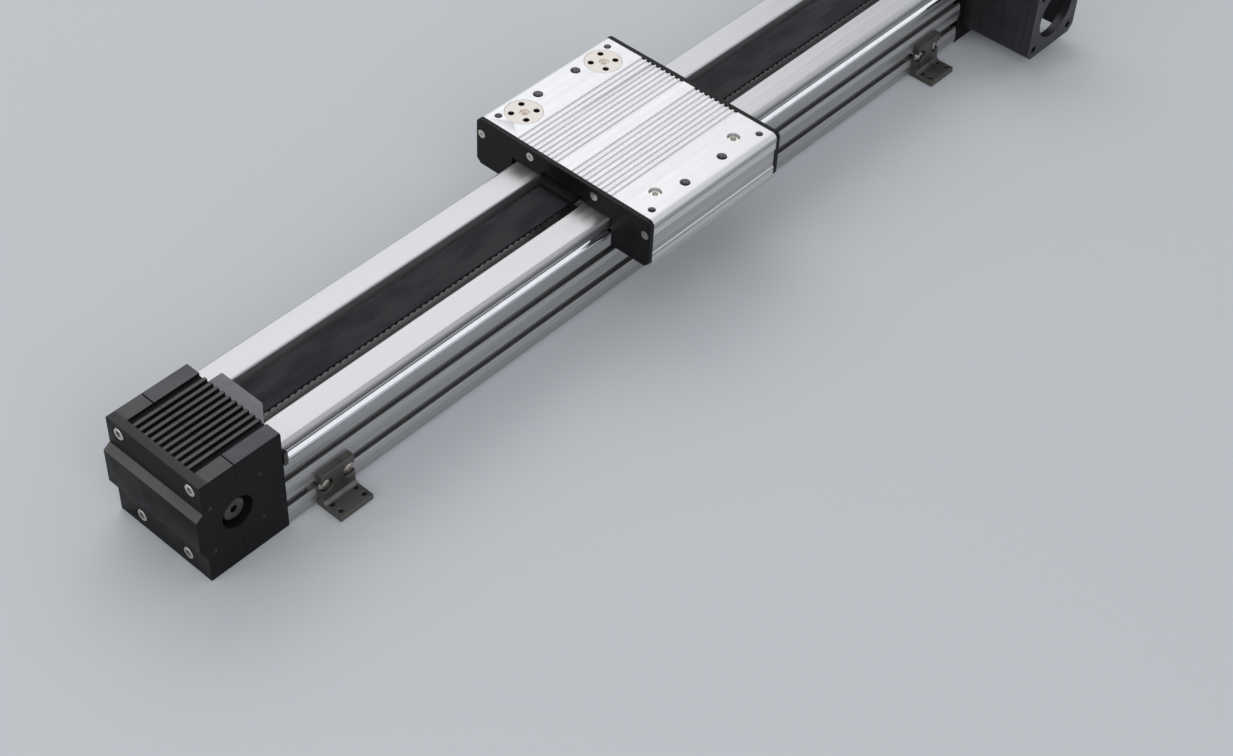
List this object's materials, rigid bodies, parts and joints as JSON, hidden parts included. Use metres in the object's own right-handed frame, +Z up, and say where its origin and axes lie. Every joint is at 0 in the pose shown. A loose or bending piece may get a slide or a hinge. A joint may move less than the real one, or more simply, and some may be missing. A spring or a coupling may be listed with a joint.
{
  "type": "belt-driven linear stage",
  "caption": "Linear stage: a roller-guided carriage on an extruded beam, moved by a toothed belt between pulley housings, with an open lantern for a motor.",
  "frame": {"origin": "middle of the beam's underside", "axes": "+X along the beam from the idler end to the driven end, +Z up, -Y towards the motor lantern"},
  "size_m": [0.7885, 0.174, 0.0834],
  "materials": {
    "anodised_aluminium": "satin, clear anodised",
    "chromed_rod": "ground and chromed steel",
    "black_housing": "matte black, fine grain",
    "black_plate": "satin black",
    "cover_grey": "light grey, smooth",
    "black_anodised": "black anodised, satin",
    "bracket_grey": "dark, plated",
    "bright_steel": "zinc plated",
    "bearing_steel": "ground",
    "pulley_aluminium": "machined",
    "disc_white": "pale, satin",
    "belt_rubber": "matte, dark grey",
    "felt": "felt"
  },
  "bodies": {
    "frame": {"profile_extrusion": "anodised_aluminium", "guide_rod_near": "chromed_rod", "guide_rod_far": "chromed_rod", "rod_end_stops": "bright_steel", "idler_housing_front": "black_housing", "idler_housing_rear": "black_housing", "idler_slot_cover": "cover_grey", "idler_housing_screws": "bright_steel", "idler_bearing_outer_rings": "bearing_steel", "drive_housing_front": "black_housing", "drive_housing_rear": "black_housing", "drive_slot_cover": "cover_grey", "drive_housing_screws": "bright_steel", "drive_bearing_outer_rings": "bearing_steel", "drive_belt": "belt_rubber", "motor_lantern": "black_anodised", "motor_flange": "black_anodised", "lantern_screws": "bright_steel", "bracket_idler_near": "bracket_grey", "bracket_idler_far": "bracket_grey", "bracket_drive_near": "bracket_grey", "bracket_drive_far": "bracket_grey", "bracket_screws": "bright_steel", "slot_nuts": "bright_steel"},
    "carriage": {"carriage_body": "anodised_aluminium", "front_end_plate": "black_plate", "rear_end_plate": "black_plate", "end_plate_screws": "bright_steel", "front_belt_clamp": "pulley_aluminium", "rear_belt_clamp": "pulley_aluminium", "front_belt_grip": "pulley_aluminium", "rear_belt_grip": "pulley_aluminium", "belt_clamp_screws": "bright_steel", "front_rod_wipers": "felt", "rear_rod_wipers": "felt", "near_roller_axles": "bright_steel", "near_roller_retainers": "bright_steel"},
    "roller_near_front": {"roller_near_front": "bearing_steel"},
    "roller_near_rear": {"roller_near_rear": "bearing_steel"},
    "eccentric_front": {"far_eccentric_front": "disc_white", "far_roller_axle_front": "bright_steel", "far_roller_retainer_front": "bright_steel"},
    "eccentric_rear": {"far_eccentric_rear": "disc_white", "far_roller_axle_rear": "bright_steel", "far_roller_retainer_rear": "bright_steel"},
    "roller_far_front": {"roller_far_front": "bearing_steel"},
    "roller_far_rear": {"roller_far_rear": "bearing_steel"},
    "idler_pulley": {"idler_pulley": "pulley_aluminium", "idler_shaft": "bright_steel", "idler_bearing_inner_rings": "bearing_steel"},
    "drive_pulley": {"drive_pulley": "pulley_aluminium", "drive_shaft": "bright_steel", "drive_bearing_inner_rings": "bearing_steel", "coupling_hub": "pulley_aluminium", "coupling_screw": "bright_steel"}
  },
  "joints": [
    {"name": "carriage_slide", "type": "slide", "parent": "frame", "child": "carriage", "axis": [1, 0, 0], "range_m": [-0.245, 0.235], "deforming": ["drive_belt"]},
    {"name": "roller_near_front_spin", "type": "hinge", "parent": "carriage", "child": "roller_near_front", "pos_m": [-0.0332, -0.0563, 0.0565], "axis": [0, 0, 1], "range_deg": [-1019, 977]},
    {"name": "eccentric_front_turn", "type": "hinge", "parent": "carriage", "child": "eccentric_front", "pos_m": [-0.0332, 0.05705, 0.0792], "axis": [0, 0, 1], "range_deg": [-90, 90]},
    {"name": "roller_far_front_spin", "type": "hinge", "parent": "eccentric_front", "child": "roller_far_front", "pos_m": [-0.0332, 0.0563, 0.0565], "axis": [0, 0, 1], "range_deg": [-977, 1019]},
    {"name": "roller_near_rear_spin", "type": "hinge", "parent": "carriage", "child": "roller_near_rear", "pos_m": [0.0432, -0.0563, 0.0565], "axis": [0, 0, 1], "range_deg": [-1019, 977]},
    {"name": "eccentric_rear_turn", "type": "hinge", "parent": "carriage", "child": "eccentric_rear", "pos_m": [0.0432, 0.05705, 0.0792], "axis": [0, 0, 1], "range_deg": [-90, 90]},
    {"name": "roller_far_rear_spin", "type": "hinge", "parent": "eccentric_rear", "child": "roller_far_rear", "pos_m": [0.0432, 0.0563, 0.0565], "axis": [0, 0, 1], "range_deg": [-977, 1019]},
    {"name": "idler_pulley_spin", "type": "hinge", "parent": "frame", "child": "idler_pulley", "pos_m": [-0.365, 0, 0.04], "axis": [0, 1, 0], "range_deg": [-553, 530]},
    {"name": "drive_pulley_spin", "type": "hinge", "parent": "frame", "child": "drive_pulley", "pos_m": [0.365, 0, 0.04], "axis": [0, 1, 0], "range_deg": [-553, 530]}
  ],
  "couplings": [
    {"joint": "roller_near_front_spin", "follows": "carriage_slide", "rad_per_m": 72.464},
    {"joint": "roller_far_front_spin", "follows": "carriage_slide", "rad_per_m": -72.464},
    {"joint": "roller_near_rear_spin", "follows": "carriage_slide", "rad_per_m": 72.464},
    {"joint": "roller_far_rear_spin", "follows": "carriage_slide", "rad_per_m": -72.464},
    {"joint": "idler_pulley_spin", "follows": "carriage_slide", "rad_per_m": 39.27},
    {"joint": "drive_pulley_spin", "follows": "carriage_slide", "rad_per_m": 39.27}
  ]
}
